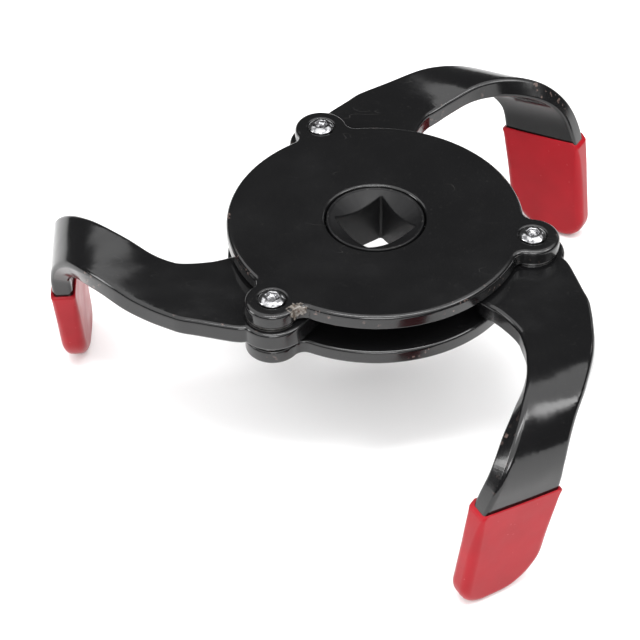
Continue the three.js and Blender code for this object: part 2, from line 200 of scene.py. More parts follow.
CAMERA_PLACE = (0.07611, -0.42674, 0.40842)
CAMERA_AIM = (0.00107, -0.00964, 0.02406)
CAMERA_ROLL = math.radians(-0.34)
CAMERA_CLIP = (0.01, 20)
CAMERA_LENS_MM = 142.7
CAMERA_SENSOR_MM = 36.0
LIGHT_AIM = (0.0, 0.0, 0.02)
FLOOR_SIZE = 6.0
WORLD_LEVEL = 0.09

hub_low, hub_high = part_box("drive_hub")
plate_low, plate_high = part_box("top_plate")
HUB = Vector(((hub_low.x + hub_high.x) / 2, (hub_low.y + hub_high.y) / 2, plate_high.z))


def to_row(point):
    """A place in the wrench's own frame, in millimetres, as metres in the row frame."""
    return (HUB.x + point[0] * MM, HUB.y + point[1] * MM, HUB.z + point[2] * MM)


# ---- materials -------------------------------------------------------------------------------------------

BLACK = (0.0045, 0.0045, 0.0048)
DUST_COLOR = (0.045, 0.043, 0.041)
SCRATCH_COLOR = (0.06, 0.058, 0.056)
RUBBED_COLOR = (0.12, 0.085, 0.075)
CHIP_COLORS = ((0.05, 0.037, 0.027), (0.15, 0.135, 0.12))
CHIP_PLACE = (-11.4, -32.7, -0.7)
CHIP_REACH = 4.4
OXIDE_BLACK = (0.004, 0.004, 0.0044)
OXIDE_RUBBED = (0.03, 0.029, 0.028)
RED = (0.28, 0.004, 0.010)
RED_CLOUDS = ((0.22, 0.002, 0.006), (0.33, 0.004, 0.011))
RED_SPECK = (0.5, 0.12, 0.12)
CHROME_COLOR = (0.50, 0.50, 0.51)
CHROME_STAINS = ((0.42, 0.42, 0.43), (0.13, 0.13, 0.135))
STEEL_COLOR = (0.42, 0.42, 0.43)
STEEL_STAINS = ((0.46, 0.46, 0.47), (0.30, 0.28, 0.26))
FLOOR_COLOR = (0.92, 0.92, 0.92)
FLOOR_CLOUDS = ((0.91, 0.91, 0.91), (0.93, 0.93, 0.93))


class Finish:
    """A Principled material whose nodes are added by short calls. Patterns follow the piece itself."""

    def __init__(self, name, color, roughness, metallic=0.0, specular=0.5):
        self.material = bpy.data.materials.new(name)
        self.material.use_nodes = True
        self.nodes = self.material.node_tree.nodes
        self.links = self.material.node_tree.links
        self.shader = self.nodes["Principled BSDF"]
        self.place = self.nodes.new("ShaderNodeTexCoord").outputs["Object"]
        settings = {
            "Base Color": (*color, 1.0),
            "Roughness": roughness,
            "Metallic": metallic,
            "Specular IOR Level": specular,
        }
        for socket, value in settings.items():
            self.shader.inputs[socket].default_value = value
        # The normal from the last bump, which the next bump adds to.
        self.relief = None

    def noise(self, grain_mm, detail=2.0, stretch=(1, 1, 1)):
        """A noise field, about 0 to 1, whose blobs measure grain_mm."""
        mapping = self.nodes.new("ShaderNodeMapping")
        mapping.inputs["Scale"].default_value = stretch
        self.links.new(self.place, mapping.inputs["Vector"])
        texture = self.nodes.new("ShaderNodeTexNoise")
        texture.inputs["Scale"].default_value = 1 / (grain_mm * MM)
        texture.inputs["Detail"].default_value = detail
        self.links.new(mapping.outputs["Vector"], texture.inputs["Vector"])
        return texture.outputs["Fac"]

    def span(self, field, low, high, to_low=0.0, to_high=1.0):
        """Stretches the part of a field between low and high to a new range, and clamps it."""
        node = self.nodes.new("ShaderNodeMapRange")
        limits = {"From Min": low, "From Max": high, "To Min": to_low, "To Max": to_high}
        for socket, value in limits.items():
            node.inputs[socket].default_value = value
        self.links.new(field, node.inputs["Value"])
        return node.outputs["Result"]

    def times(self, first, second):
        """The product of two fields, or of a field and a number."""
        node = self.nodes.new("ShaderNodeMath")
        node.operation = "MULTIPLY"
        for socket, value in zip(node.inputs, (first, second)):
            if isinstance(value, (int, float)):
                socket.default_value = value
            else:
                self.links.new(value, socket)
        return node.outputs["Value"]

    def edge(self):
        """1 on the rounded edges of a piece and 0 on its faces."""
        node = self.nodes.new("ShaderNodeAttribute")
        node.attribute_name = "edge"
        return node.outputs["Fac"]

    def near(self, point_mm, reach_mm):
        """1 at a point given from the hub, falling to 0 at a distance from it."""
        node = self.nodes.new("ShaderNodeVectorMath")
        node.operation = "DISTANCE"
        self.links.new(self.place, node.inputs[0])
        node.inputs[1].default_value = to_row(point_mm)
        return self.span(node.outputs["Value"], 0, reach_mm * MM, 1.0, 0.0)

    def mix_color(self, field, low, high):
        """Goes from one colour to another with a field. Either colour may be another field's output."""
        node = self.nodes.new("ShaderNodeMix")
        node.data_type = "RGBA"
        self.links.new(field, node.inputs["Factor"])
        ports = {port.name: port for port in node.inputs if port.type == "RGBA"}
        for port, value in ((ports["A"], low), (ports["B"], high)):
            if isinstance(value, tuple):
                port.default_value = (*value, 1.0)
            else:
                self.links.new(value, port)
        return next(port for port in node.outputs if port.type == "RGBA")

    def drive(self, socket, output):
        """Links an output to one of the shader's own sockets."""
        self.links.new(output, self.shader.inputs[socket])

    def bump(self, field, height_mm):
        """Raises the surface by a field. Several bumps add up."""
        node = self.nodes.new("ShaderNodeBump")
        node.inputs["Distance"].default_value = height_mm * MM
        node.inputs["Strength"].default_value = 1.0
        self.links.new(field, node.inputs["Height"])
        if self.relief is not None:
            self.links.new(self.relief, node.inputs["Normal"])
        self.relief = node.outputs["Normal"]
        self.links.new(self.relief, self.shader.inputs["Normal"])


def black_paint(name, wave_mm, chip_place=None):
    """Gloss black paint over pressed steel: orange peel, haze, fine scratches, rubbed specks on edges.
    Its slow waves are wave_mm high, and it may be chipped at one place."""
    f = Finish(name, BLACK, 0.14)
    f.drive("Roughness", f.span(f.noise(14, 3), 0.3, 0.7, 0.10, 0.22))
    rubbed_spots = f.times(f.edge(), f.span(f.noise(1.1, 4), 0.61, 0.67))
    rubbed_areas = f.span(f.noise(9, 2), 0.52, 0.6)
    rubbed = f.times(rubbed_spots, rubbed_areas)
    dust = f.span(f.noise(0.5, 3), 0.67, 0.73)
    contour = f.noise(11, 1, stretch=(1, 2.4, 1))
    scratch = f.times(f.span(contour, 0.497, 0.5), f.span(contour, 0.503, 0.5))
    scratch = f.times(scratch, f.span(f.noise(9, 2), 0.58, 0.68))
    color = f.mix_color(f.times(dust, 0.35), BLACK, DUST_COLOR)
    color = f.mix_color(f.times(scratch, 0.6), color, SCRATCH_COLOR)
    color = f.mix_color(f.times(rubbed, 0.8), color, RUBBED_COLOR)
    if chip_place is not None:
        ragged = f.times(f.near(chip_place, CHIP_REACH), f.noise(1.1, 4))
        chip = f.span(ragged, 0.26, 0.29)
        chip_color = f.mix_color(f.span(f.noise(0.8, 3), 0.4, 0.6), *CHIP_COLORS)
        color = f.mix_color(chip, color, chip_color)
        f.bump(chip, -0.08)
    f.drive("Base Color", color)
    f.bump(f.noise(10, 1), wave_mm)
    f.bump(f.noise(2.2, 1), 0.012)
    f.bump(f.noise(0.55, 2), 0.003)
    return f.material


def hub_black():
    """Satin black oxide with a fine grain and slightly rubbed rims."""
    f = Finish("hub_black_oxide", OXIDE_BLACK, 0.4, specular=0.22)
    f.drive("Roughness", f.span(f.noise(3, 3), 0.3, 0.7, 0.38, 0.48))
    rubbed = f.times(f.edge(), f.span(f.noise(0.9, 4), 0.6, 0.68))
    f.drive("Base Color", f.mix_color(rubbed, OXIDE_BLACK, OXIDE_RUBBED))
    f.bump(f.noise(0.3, 2), 0.002)
    return f.material


def red_sleeve():
    """Dipped PVC: satin, slightly cloudy, with a few pale specks and faint flow marks."""
    f = Finish("dipped_red_plastic", RED, 0.34, specular=0.2)
    cloudy = f.mix_color(f.noise(7, 2), *RED_CLOUDS)
    speck = f.span(f.noise(0.8, 1), 0.77, 0.8)
    f.drive("Base Color", f.mix_color(f.times(speck, 0.4), cloudy, RED_SPECK))
    f.drive("Roughness", f.span(f.noise(5, 1), 0.0, 1.0, 0.24, 0.44))
    f.bump(f.noise(9, 1), 0.12)
    f.bump(f.noise(3.5, 2), 0.03)
    f.bump(f.noise(0.35, 2), 0.003)
    return f.material


def chrome():
    """Plated steel, a little dull, with soft ripples that break up what it mirrors."""
    f = Finish("chrome_plate", CHROME_COLOR, 0.13, metallic=1.0)
    f.drive("Roughness", f.span(f.noise(0.8, 3), 0.3, 0.75, 0.09, 0.24))
    stain = f.span(f.noise(1.0, 3), 0.45, 0.62)
    f.drive("Base Color", f.mix_color(stain, *CHROME_STAINS))
    f.bump(f.noise(1.4, 1), 0.05)
    return f.material


def plain_steel():
    """Turned steel, unevenly dull and stained, with fine level tool marks."""
    f = Finish("plain_turned_steel", STEEL_COLOR, 0.33, metallic=1.0)
    f.drive("Roughness", f.span(f.noise(0.8, 3), 0.3, 0.7, 0.26, 0.42))
    stain = f.span(f.noise(2.5, 4), 0.35, 0.7)
    f.drive("Base Color", f.mix_color(stain, *STEEL_STAINS))
    f.bump(f.noise(0.15, 1, stretch=(0.2, 0.2, 4)), 0.004)
    return f.material


def floor_paper():
    """Pale matt paper, barely uneven."""
    f = Finish("pale_floor", FLOOR_COLOR, 0.7, specular=0.2)
    f.drive("Base Color", f.mix_color(f.noise(60, 2), *FLOOR_CLOUDS))
    f.bump(f.noise(1.2, 2), 0.01)
    return f.material


PLATE_PAINT = black_paint("plate_paint", 0.04, CHIP_PLACE)
BOTTOM_PAINT = black_paint("bottom_plate_paint", 0.06)
ARM_PAINT = black_paint("arm_paint", 0.3)
HUB_BLACK = hub_black()
RED_SLEEVE = red_sleeve()
CHROME = chrome()
PLAIN_STEEL = plain_steel()
FLOOR = floor_paper()


# ---- curves in the plane ---------------------------------------------------------------------------------


def arc(centre, radius, start, end, steps):
    """Points of an arc, without its last one, so that arcs can follow each other."""
    angles = [start + (end - start) * i / steps for i in range(steps)]
    return [(centre[0] + radius * math.cos(a), centre[1] + radius * math.sin(a)) for a in angles]


def between(first, last, count):
    """Evenly spaced points from one point to another, without those two, which count takes in."""
    shares = np.linspace(0, 1, count)[1:-1]
    return [tuple(np.array(first) * (1 - t) + np.array(last) * t) for t in shares]


def spline(points, spacing):
    """The Catmull-Rom line through points, cut into short steps of about spacing."""
    points = [np.array(p, float) for p in points]
    ends = [points[0], *points, points[-1]]
    line = []
    for a, b, c, d in zip(ends, ends[1:], ends[2:], ends[3:]):
        steps = max(2, round(float(np.linalg.norm(c - b)) / spacing))
        leave = (c - a) / 2
        arrive = (d - b) / 2
        cubic = 2 * b - 2 * c + leave + arrive
        square = 3 * c - 3 * b - 2 * leave - arrive
        for t in np.linspace(0, 1, steps, endpoint=False):
            line.append(cubic * t**3 + square * t**2 + leave * t + b)
    line.append(points[-1])
    return [tuple(p) for p in line]


# ---- the bent strap --------------------------------------------------------------------------------------

FOLD_ALONG = np.array([math.cos(FOLD_HEADING), math.sin(FOLD_HEADING)])
FOLD_NORMAL = np.array([math.sin(FOLD_HEADING), -math.cos(FOLD_HEADING)])
STRAP_EDGE_STEP = 0.5
EASE_SAMPLES = 7

LEADING = np.array(spline(LEADING_EDGE, STRAP_EDGE_STEP))
TRAILING = np.array(spline(TRAILING_EDGE, STRAP_EDGE_STEP))


def from_fold(pair):
    """A place given as distance along the fold's normal and place along the fold line, as x and y."""
    return tuple(pair[0] * FOLD_NORMAL + pair[1] * FOLD_ALONG)


def strap_line(out, along):
    """Where a place on the middle of the flat metal comes to: reach from the hub, height, slope there."""
    rise = RISE_ANGLE + RISE_TWIST * along
    level = JAW_DISTANCE - (RISE_RADIUS + BEND_RADIUS) * np.sin(rise) - BEND_RADIUS * math.sin(JAW_ANGLE)
    past = out - level
    up = np.clip(past, 0, RISE_RADIUS * rise) / RISE_RADIUS
    down = np.clip(past - RISE_RADIUS * rise, 0, BEND_RADIUS * (rise + JAW_ANGLE)) / BEND_RADIUS
    beyond = np.maximum(0, past - RISE_RADIUS * rise - BEND_RADIUS * (rise + JAW_ANGLE))
    reach = np.minimum(out, level) + RISE_RADIUS * np.sin(up) + beyond * math.cos(JAW_ANGLE)
    reach = reach + BEND_RADIUS * (np.sin(rise) - np.sin(rise - down))
    height = RISE_RADIUS * (1 - np.cos(up)) - beyond * math.sin(JAW_ANGLE)
    height = height + BEND_RADIUS * (np.cos(rise - down) - np.cos(rise))
    return reach, height, up - down


def spread_at(out):
    """How much each side of the strap moves out on its lower face, and in on its upper one."""
    share = np.clip((out - SPREAD_FROM) / SPREAD_LENGTH, 0, 1)
    return BEND_SPREAD * np.sin(math.pi * share) ** 2


def bend(points):
    """Bends flat metal, given as rows of x, y and height above its middle, into the finished arm. The line is
    averaged over a short length, so that it eases in and out of each arc."""
    flat = np.array(points, float)
    out, along = flat[:, :2] @ FOLD_NORMAL, flat[:, :2] @ FOLD_ALONG
    lift = flat[:, 2]
    lead = np.interp(out, LEADING[:, 0], LEADING[:, 1])
    trail = np.interp(out, TRAILING[:, 0], TRAILING[:, 1])
    side = np.clip(2 * (along - lead) / (trail - lead) - 1, -1, 1)
    along = along - side * spread_at(out) * lift / (ARM_THICK / 2)
    ease = np.interp(out, EASE_PLACES, EASE_LENGTHS)
    lines = [strap_line(out + share * ease, along) for share in np.linspace(-1, 1, EASE_SAMPLES)]
    reach, height, slope = np.mean(np.array(lines), axis=0)
    reach = reach - lift * np.sin(slope)
    height = height + lift * np.cos(slope)
    place = reach[:, None] * FOLD_NORMAL + along[:, None] * FOLD_ALONG
    return np.column_stack([place, ARM_MIDDLE + height])


# ---- gear teeth ------------------------------------------------------------------------------------------

FLANK_POINTS = 6


def tooth_half_angle(teeth, radius):
    """Half of a tooth's width at a radius, as an angle."""
    pitch = TOOTH_MODULE * teeth / 2
    base = pitch * math.cos(PRESSURE_ANGLE)
    at_pitch = math.pi / (2 * teeth) - BACKLASH / (2 * pitch)
    pressure = math.acos(min(1.0, base / radius))
    involute = math.tan(PRESSURE_ANGLE) - PRESSURE_ANGLE - (math.tan(pressure) - pressure)
    return at_pitch + involute


def tooth_polar(teeth, centre):
    """One tooth as (angle, radius) pairs in order, with a small fillet at each root."""
    pitch = TOOTH_MODULE * teeth / 2
    root = pitch - ROOT_DEPTH * TOOTH_MODULE
    tip = pitch + TOOTH_MODULE
    radii = [root + ROOT_FILLET, *np.linspace(pitch - TOOTH_MODULE / 2, tip, FLANK_POINTS)]
    foot = tooth_half_angle(teeth, radii[0]) + ROOT_FILLET / root
    rising = [(centre - foot, root)] + [(centre - tooth_half_angle(teeth, r), r) for r in radii]
    falling = [(2 * centre - angle, radius) for angle, radius in reversed(rising)]
    return rising + [(centre, tip)] + falling


# ---- mesh making -----------------------------------------------------------------------------------------

# Corners sharper than this cosine are inset by no more than its miter.
LEAST_MITER_COSINE = 0.62
# Steps round each rounded edge, above and below.
ROUNDING_STEPS = 6
# Holes wider than this radius get the finer count of steps.
WIDE_HOLE = 6.0
WIDE_HOLE_STEPS = 96
NARROW_HOLE_STEPS = 48


def new_piece(name, bm, material, body, node, turn=0.0):
    """Takes a mesh in millimetres to the row frame, turned about the hub, and makes it a finished piece."""
    bm.normal_update()
    spin = Matrix.Rotation(turn, 3, "Z")
    for vertex in bm.verts:
        vertex.co = Vector(to_row(spin @ vertex.co))
    bmesh.ops.recalc_face_normals(bm, faces=bm.faces)
    mesh = bpy.data.meshes.new(name)
    bm.to_mesh(mesh)
    bm.free()
    mesh.polygons.foreach_set("use_smooth", [True] * len(mesh.polygons))
    mesh.materials.append(material)
    piece = bpy.data.objects.new(name, mesh)
    bpy.context.scene.collection.objects.link(piece)
    normals = piece.modifiers.new("even_normals", "WEIGHTED_NORMAL")
    normals.weight = 100
    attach(piece, body)
    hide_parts(node)
    return piece


def add_ring(bm, points, edge_layer, wear=0.0):
    """Adds the points as vertices. wear goes to the edge attribute, which the finishes read."""
    ring = []
    for point in points:
        vertex = bm.verts.new(point)
        vertex[edge_layer] = wear
        ring.append(vertex)
    return ring


def bridge(bm, first, second):
    """Quads between two rings of the same count."""
    count = len(first)
    for i in range(count):
        j = (i + 1) % count
        bm.faces.new((first[i], first[j], second[j], second[i]))


def bridge_all(bm, rings):
    """Quads between each ring and the next."""
    for first, second in zip(rings, rings[1:]):
        bridge(bm, first, second)


def loop_edges(bm, ring):
    """The edges round a closed ring, made where there are none yet."""
    edges = []
    for i in range(len(ring)):
        pair = (ring[i], ring[(i + 1) % len(ring)])
        edges.append(bm.edges.get(pair) or bm.edges.new(pair))
    return edges


def inward_normals(outline):
    """The way into the shape at each point of an anticlockwise outline, longer at sharp corners."""
    points = np.array(outline, float)
    ahead = np.roll(points, -1, axis=0) - points
    ahead /= np.linalg.norm(ahead, axis=1)[:, None]
    left = np.stack([-ahead[:, 1], ahead[:, 0]], axis=1)
    both = left + np.roll(left, 1, axis=0)
    length = np.linalg.norm(both, axis=1)[:, None]
    both /= length
    miter = 1 / np.clip((both * left).sum(1), LEAST_MITER_COSINE, 1)
    return both * miter[:, None]


def rounding(top, bottom, top_radius, bottom_radius):
    """(share of inset, level, share of rise, radius) rows for an edge that is rounded above and below."""
    rows = []
    for i in range(ROUNDING_STEPS + 1):
        a = math.pi / 2 * i / ROUNDING_STEPS
        rows.append((1 - math.sin(a), top, math.cos(a) - 1, top_radius))
    for i in range(ROUNDING_STEPS + 1):
        a = math.pi / 2 * (1 - i / ROUNDING_STEPS)
        rows.append((1 - math.sin(a), bottom, 1 - math.cos(a), bottom_radius))
    return rows


def ease_radii(radii, passes):
    """Lets the radii along an outline grow gently away from the places where they are small."""
    radii = np.array(radii, float)
    for _ in range(passes):
        radii = np.minimum(radii, (np.roll(radii, 1) + radii + np.roll(radii, -1)) / 3)
    return radii


def hole_profile(radius, top, bottom, upper_break, lower_break):
    """A plain hole with broken edges, as (radius, height) pairs from the upper face to the lower one."""
    return [
        (radius + upper_break, top),
        (radius, top - upper_break),
        (radius, bottom + lower_break),
        (radius + lower_break, bottom),
    ]


def slab(outline, top, bottom, top_radius, bottom_radius, holes=(), margin=0.0):
    """A plate with rounded edges. The radii are one number or one for each point of the outline. holes are
    (centre, [(radius, height), ...]) turned profiles that run from the upper face to the lower one. A margin
    is a flat border beside every edge, which keeps the shading of the wide faces even."""
    bm = bmesh.new()
    edge_layer = bm.verts.layers.float.new("edge")
    points = np.array(outline, float)
    inward = inward_normals(outline)
    rings = []
    rows = rounding(top, bottom, top_radius, bottom_radius)
    if margin:
        upper_border = (1 + margin / top_radius, top, 0.0, top_radius)
        lower_border = (1 + margin / bottom_radius, bottom, 0.0, bottom_radius)
        rows = [upper_border, *rows, lower_border]
    for share, level, rise, radius in rows:
        radius = np.broadcast_to(np.array(radius, float), (len(points),))
        moved = points + inward * (share * radius)[:, None]
        heights = level + rise * radius
        on_face = rise == 0.0
        spots = [(x, y, z) for (x, y), z in zip(moved, heights)]
        rings.append(add_ring(bm, spots, edge_layer, 0.0 if on_face else 1.0))
    bridge_all(bm, rings)
    upper, lower = [rings[0]], [rings[-1]]
    for centre, profile in holes:
        if margin:
            profile = [(profile[0][0] + margin, top), *profile, (profile[-1][0] + margin, bottom)]
        steps = WIDE_HOLE_STEPS if profile[0][0] > WIDE_HOLE else NARROW_HOLE_STEPS
        tube = []
        for radius, height in profile:
            spots = [(x, y, height) for x, y in arc(centre, radius, 0.0, 2 * math.pi, steps)]
            tube.append(add_ring(bm, spots, edge_layer))
        bridge_all(bm, tube)
        upper.append(tube[0])
        lower.append(tube[-1])
    for loops, facing in ((upper, 1.0), (lower, -1.0)):
        edges = [edge for ring in loops for edge in loop_edges(bm, ring)]
        bmesh.ops.triangle_fill(bm, use_beauty=True, use_dissolve=False, edges=edges, normal=(0, 0, facing))
    return bm


def polar_loft(angles, rows):
    """Rings round the z axis, joined in order. rows are (radii, heights, wear), where radii and heights are
    one number or one for each angle."""
    bm = bmesh.new()
    edge_layer = bm.verts.layers.float.new("edge")
    rings = []
    for radii, heights, wear in rows:
        radii = np.broadcast_to(radii, (len(angles),))
        heights = np.broadcast_to(heights, (len(angles),))
        spots = [(r * math.cos(a), r * math.sin(a), h) for a, r, h in zip(angles, radii, heights)]
        rings.append(add_ring(bm, spots, edge_layer, wear))
    bridge_all(bm, rings)
    return bm, rings


# ---- plates ----------------------------------------------------------------------------------------------

FILLET_STEPS = 10
EAR_STEPS = 36
DISC_STEPS = 56


def plate_outline():
    """Disc with three ears; each ear meets the disc through a hollow fillet that touches both circles."""
    to_fillet = PLATE_RADIUS + EAR_FILLET
    ear_to_fillet = EAR_RADIUS + EAR_FILLET
    disc_share = (to_fillet**2 + PIVOT_RADIUS**2 - ear_to_fillet**2) / (2 * to_fillet * PIVOT_RADIUS)
    ear_share = (PIVOT_RADIUS**2 + ear_to_fillet**2 - to_fillet**2) / (2 * PIVOT_RADIUS * ear_to_fillet)
    spread = math.acos(disc_share)
    ear_side = math.acos(ear_share)
    outline = []
    for i in range(ARM_COUNT):
        turn = i * SECTOR
        before = (to_fillet * math.cos(turn - spread), to_fillet * math.sin(turn - spread))
        pivot = (PIVOT_RADIUS * math.cos(turn), PIVOT_RADIUS * math.sin(turn))
        after = (to_fillet * math.cos(turn + spread), to_fillet * math.sin(turn + spread))
        half = math.pi - ear_side
        outline += arc(before, EAR_FILLET, turn + math.pi - spread, turn + ear_side, FILLET_STEPS)
        outline += arc(pivot, EAR_RADIUS, turn - half, turn + half, EAR_STEPS)
        outline += arc(after, EAR_FILLET, turn - ear_side, turn + spread - math.pi, FILLET_STEPS)
        outline += arc((0, 0), PLATE_RADIUS, turn + spread, turn + SECTOR - spread, DISC_STEPS)
    return outline


def plate(name, node, top, rounds, spot_faced, paint):
    """One plate with its hub hole and three screw holes. Spot faces are the shallow seats of screw heads."""
    bottom = top - PLATE_THICK
    bore = JOURNAL_RADIUS + JOURNAL_GAP
    hole = SCREW_RADIUS + FACE_GAP
    screw_hole = hole_profile(hole, top, bottom, HOLE_BREAK, HOLE_BREAK)
    if spot_faced:
        rim = HEAD_RADIUS + HEAD_GAP
        seat = top - HEAD_SEAT_DEPTH
        screw_hole = [
            (rim + SPOT_FACE_BREAK, top),
            (rim, top - SPOT_FACE_BREAK_DEPTH),
            (rim, seat),
            (hole, seat),
            *screw_hole[2:],
        ]
    holes = [((0, 0), hole_profile(bore, top, bottom, HUB_HOLE_BREAK, HOLE_BREAK))]
    for i in range(ARM_COUNT):
        centre = (PIVOT_RADIUS * math.cos(i * SECTOR), PIVOT_RADIUS * math.sin(i * SECTOR))
        holes.append((centre, screw_hole))
    bm = slab(plate_outline(), top, bottom, *rounds, holes, FLAT_BORDER)
    return new_piece(name, bm, paint, "housing", node)


# ---- drive hub -------------------------------------------------------------------------------------------

# Angles added beside each corner of the square, in degrees, so that its rounding is smooth.
CORNER_ANGLES = (-4.0, -2.0, 0.0, 2.0, 4.0)
ANGLE_DECIMALS = 6


def square_radius(angle, half, corner):
    """Distance from the middle of a square to its wall, with rounded corners that lie on the axes."""
    from_corner = abs((angle + math.pi / 4) % (math.pi / 2) - math.pi / 4)
    tangent = math.pi / 4 - math.atan((half - corner) / half)
    if from_corner > tangent:
        return half / math.cos(math.pi / 4 - from_corner)
    centre = (half - corner) * math.sqrt(2)
    return centre * math.cos(from_corner) + math.sqrt(corner**2 - (centre * math.sin(from_corner)) ** 2)


def drive_hub():
    """One closed skin: journals, gear, lip, cone and square. Its rings run from the underside, up the outside
    and down the square."""
    full_turn = 2 * math.pi
    polar = [pair for i in range(SUN_TEETH) for pair in tooth_polar(SUN_TEETH, full_turn * i / SUN_TEETH)]
    gear_angles = np.array([angle for angle, _ in polar])
    gear_radii = np.array([radius for _, radius in polar])
    corners = np.concatenate([i * math.pi / 2 + np.radians(CORNER_ANGLES) for i in range(4)])
    angles = np.unique(np.round(np.concatenate([gear_angles, corners]) % full_turn, ANGLE_DECIMALS))
    order = np.argsort(gear_angles % full_turn)
    gear = np.interp(angles, (gear_angles % full_turn)[order], gear_radii[order], period=full_turn)
    square = np.array([square_radius(a, DRIVE_SQUARE / 2, SQUARE_CORNER_ROUND) for a in angles])
    gear_top = GAP_TOP - FACE_GAP
    gear_bottom = GAP_BOTTOM + FACE_GAP
    mouth = JOURNAL_RADIUS - 2 * HUB_LIP
    slope = math.tan(MOUTH_SLOPE)
    foot = HUB_BOTTOM_CHAMFER

    def mouth_level(radius):
        return -MOUTH_START - (mouth - radius) * slope

    rows = [
        (JOURNAL_RADIUS - foot, HUB_BOTTOM, 0.0),
        (JOURNAL_RADIUS - foot / 3, HUB_BOTTOM + foot / 3, 1.0),
        (JOURNAL_RADIUS, HUB_BOTTOM + foot, 0.0),
        (JOURNAL_RADIUS, gear_bottom, 0.0),
        (gear - GEAR_EDGE_BREAK, gear_bottom, 0.0),
        (gear, gear_bottom + GEAR_EDGE_BREAK, 1.0),
        (gear, gear_top - GEAR_EDGE_BREAK, 1.0),
        (gear - GEAR_EDGE_BREAK, gear_top, 0.0),
        (JOURNAL_RADIUS, gear_top, 0.0),
        (JOURNAL_RADIUS, -HUB_LIP, 0.0),
    ]
    for i in range(1, HUB_LIP_STEPS):
        a = math.pi * i / HUB_LIP_STEPS
        rows.append((JOURNAL_RADIUS - HUB_LIP + HUB_LIP * math.cos(a), -HUB_LIP + HUB_LIP * math.sin(a), 1.0))
    for share in CONE_SHARES:
        radii = mouth + (square + CONE_STOP - mouth) * share
        rows.append((radii, mouth_level(radii) - CONE_DROP, 0.0))
    for out, drop in SQUARE_EDGE_OUTS_AND_DROPS:
        rows.append((square + out, mouth_level(square + out) - drop, 0.3))
    rows += [
        (square, mouth_level(square) - SQUARE_WALL_DROP, 0.0),
        (square, HUB_BOTTOM + SQUARE_LOWER_BREAK, 0.0),
        (square + SQUARE_LOWER_BREAK, HUB_BOTTOM, 0.5),
    ]
    bm, rings = polar_loft(angles, rows)
    bridge(bm, rings[-1], rings[0])
    return new_piece("drive_hub_skin", bm, HUB_BLACK, "drive_hub", "drive_hub")


# ---- arm and sleeve --------------------------------------------------------------------------------------

SIDE_SPACING = 0.7
CORNER_STEPS = 14
END_COUNT = 10
LIP_COUNT = 24
OUTLINE_SPACING = 0.8
SHOULDER_SPACING = 1.0
BOSS_STEPS = 24
# Which point of the jaw, counted from either end of it, gives the flat edges their direction.
JAW_GUIDE = 10
ARM_EASE_PASSES = 6
SLEEVE_EASE_PASSES = 12


def along_at(line, out):
    """Where an edge of the strap lies along the fold line, at a distance out."""
    return float(np.interp(out, line[:, 0], line[:, 1]))


def tip_at(along):
    """How far out the strap ends. Its two corners are at one level once it is bent."""
    ends = np.array([LEADING[-1], TRAILING[-1]])
    return float(np.interp(along, ends[:, 1], ends[:, 0]))


def tip_outline(start_leading, start_trailing, grow, longer):
    """Outline of the strap from one place on its leading edge, round the tip, to one on the trailing edge."""
    corners = ((LEADING, 1, TIP_ROUND_LEADING + grow), (TRAILING, -1, TIP_ROUND_TRAILING + grow))
    sides = []
    for (line, side, radius), start in zip(corners, (start_leading, start_trailing)):
        end = line[-1, 0] + longer
        places = np.arange(start, end - radius, SIDE_SPACING)
        points = [(out, along_at(line, out) - side * grow) for out in places]
        for i in range(CORNER_STEPS + 1):
            a = math.pi / 2 * i / CORNER_STEPS
            drop = radius * (1 - math.sin(a))
            along = along_at(line, end - drop) + side * (radius * (1 - math.cos(a)) - grow)
            points.append((tip_at(along) + longer - drop, along))
        sides.append(points)
    leading, trailing = sides
    return leading + between(leading[-1], trailing[-1], END_COUNT) + trailing[::-1]


def arm_outline():
    """Outline of the arm as flat metal, with how round its edge is at each point."""
    outline = []
    radii = []

    def take(points, radius):
        outline.extend(points)
        radii.extend([radius] * len(points))

    def nearest(line, place):
        return line.index(min(line, key=lambda p: math.dist(p, place)))

    teeth = []
    for i in range(SECTOR_CUT_TEETH):
        polar = tooth_polar(SECTOR_TEETH, SECTOR_FIRST + 2 * math.pi * i / SECTOR_TEETH)
        teeth += [(PIVOT_RADIUS + r * math.cos(a), r * math.sin(a)) for a, r in polar]
    boss = arc((PIVOT_RADIUS, 0), ARM_BOSS_RADIUS, BACK_EDGE_MEETS_BOSS, math.pi / 2, BOSS_STEPS)
    first = LEADING_EDGE[0][0] + 1
    jaw = [from_fold(pair) for pair in tip_outline(first, first, 0.0, 0.0)]
    front = spline([teeth[-1], *FRONT_EDGE, jaw[0], jaw[JAW_GUIDE]], OUTLINE_SPACING)[1:]
    front = front[: nearest(front, jaw[0])]
    back = spline([jaw[-JAW_GUIDE - 1], jaw[-1], *BACK_EDGE, boss[0]], OUTLINE_SPACING)
    back = back[nearest(back, jaw[-1]) + 1 : -1]
    take(spline(BOSS_SHOULDER, SHOULDER_SPACING)[:-1], SHOULDER_ROUND)
    take([BOSS_SHOULDER[-1], *teeth], TOOTH_ROUND)
    take([*front, *jaw, *back, *boss], EDGE_ROUND)
    return outline, ease_radii(radii, ARM_EASE_PASSES)


def cut_metal(bm, direction, start, end, step):
    """Cuts flat metal along lines at right angles to a direction, so that it can curve between them."""
    normal = Vector((*direction, 0))
    for distance in np.arange(start, end, step):
        geometry = bm.verts[:] + bm.edges[:] + bm.faces[:]
        bmesh.ops.bisect_plane(bm, geom=geometry, plane_co=normal * distance, plane_no=normal, dist=1e-4)


def fold(bm):
    """Bends a whole mesh."""
    for vertex, place in zip(bm.verts, bend([vertex.co for vertex in bm.verts])):
        vertex.co = Vector(place)


